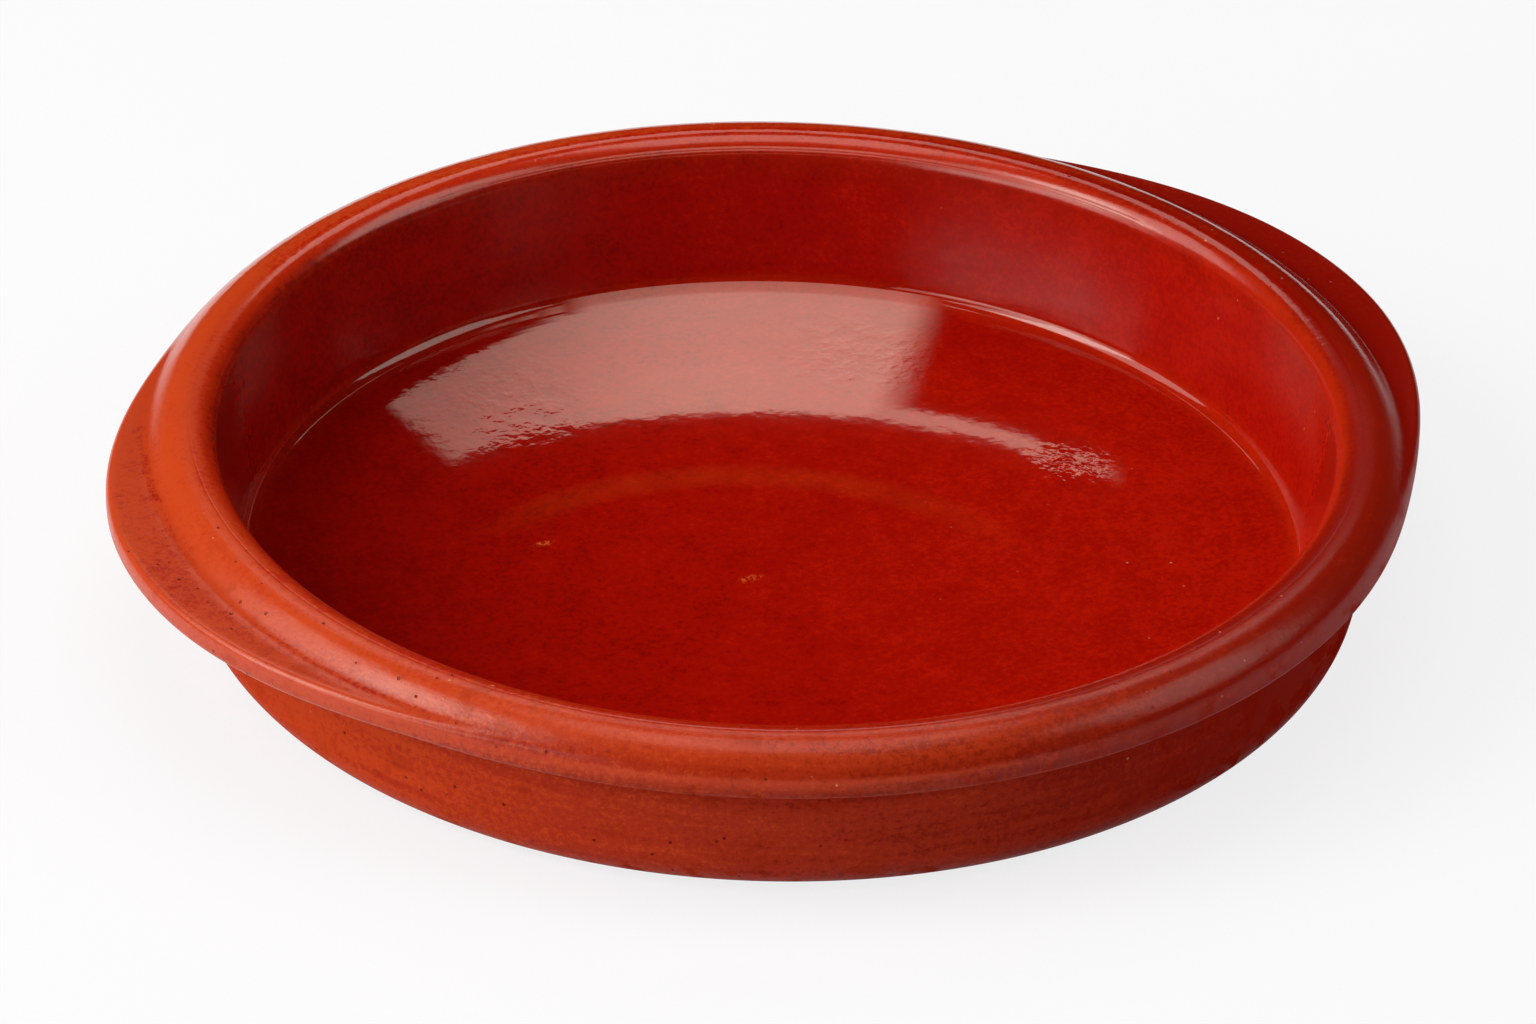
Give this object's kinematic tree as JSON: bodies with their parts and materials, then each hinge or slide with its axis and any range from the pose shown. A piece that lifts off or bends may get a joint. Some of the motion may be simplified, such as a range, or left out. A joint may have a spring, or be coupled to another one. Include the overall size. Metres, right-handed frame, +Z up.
{
  "type": "cazuela",
  "caption": "Round, shallow dish of glazed red clay with a steep wall, a thick rounded rim and low ears on opposite sides of the rim.",
  "frame": {"origin": "middle of the flat base, on the dish's axis", "axes": "+Z up along the dish's axis, +X towards one ear, +Y towards the side that both ears lie a little nearer"},
  "size_m": [0.2432, 0.2246, 0.034],
  "materials": {
    "glazed_clay": "gloss"
  },
  "bodies": {
    "root": {"cazuela": "glazed_clay"}
  },
  "joints": []
}
